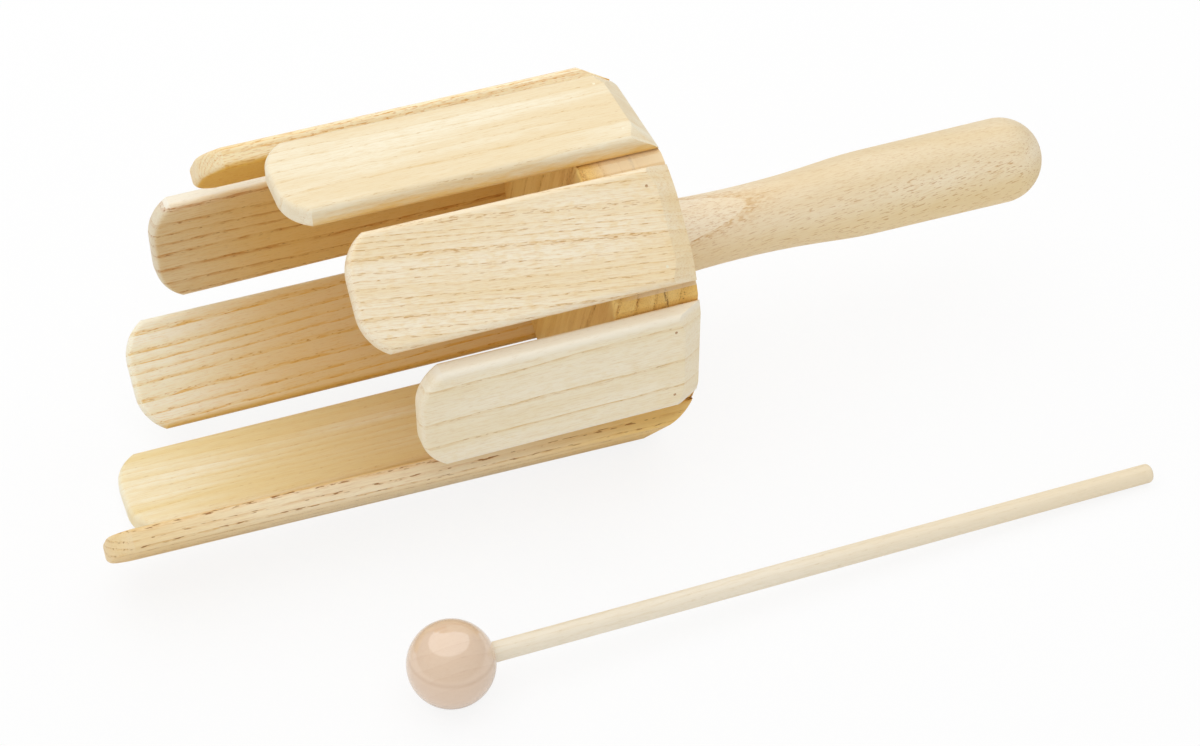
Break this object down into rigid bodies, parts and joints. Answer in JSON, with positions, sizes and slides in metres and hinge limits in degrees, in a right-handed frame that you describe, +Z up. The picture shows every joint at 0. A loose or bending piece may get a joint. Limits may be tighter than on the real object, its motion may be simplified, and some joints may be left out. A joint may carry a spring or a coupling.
{
  "type": "multi tone block",
  "caption": "Open wooden drum of stepped tone bars round an octagonal hub, held by a turned handle and played with a loose ball-headed mallet stirred inside or tapped on the bars.",
  "frame": {"origin": "on the outer flat of the bar the drum lies on, straight below the middle of the hub's front face", "axes": "+X along the drum's axis towards the handle's end, +Z up from the surface it lies on, -Y to the side where the mallet lies"},
  "size_m": [0.4246, 0.2351, 0.148],
  "materials": {
    "hub": "satin",
    "tone_bar_1": "satin",
    "tone_bar_2": "satin",
    "tone_bar_3": "satin",
    "tone_bar_4": "satin",
    "tone_bar_5": "satin",
    "tone_bar_6": "satin",
    "tone_bar_7": "satin",
    "tone_bar_8": "satin",
    "brads": "dull",
    "handle": "satin",
    "mallet_head": "gloss",
    "mallet_stick": "matt"
  },
  "bodies": {
    "block": {"hub": "hub", "tone_bar_1": "tone_bar_1", "tone_bar_2": "tone_bar_2", "tone_bar_3": "tone_bar_3", "tone_bar_4": "tone_bar_4", "tone_bar_5": "tone_bar_5", "tone_bar_6": "tone_bar_6", "tone_bar_7": "tone_bar_7", "tone_bar_8": "tone_bar_8", "brads": "brads", "handle": "handle"},
    "mallet": {"mallet_head": "mallet_head", "mallet_stick": "mallet_stick"}
  },
  "joints": [
    {"name": "mallet_lift", "type": "slide", "parent": "block", "child": "mallet", "axis": [0, 0, 1], "range_m": [0, 0.2]}
  ]
}
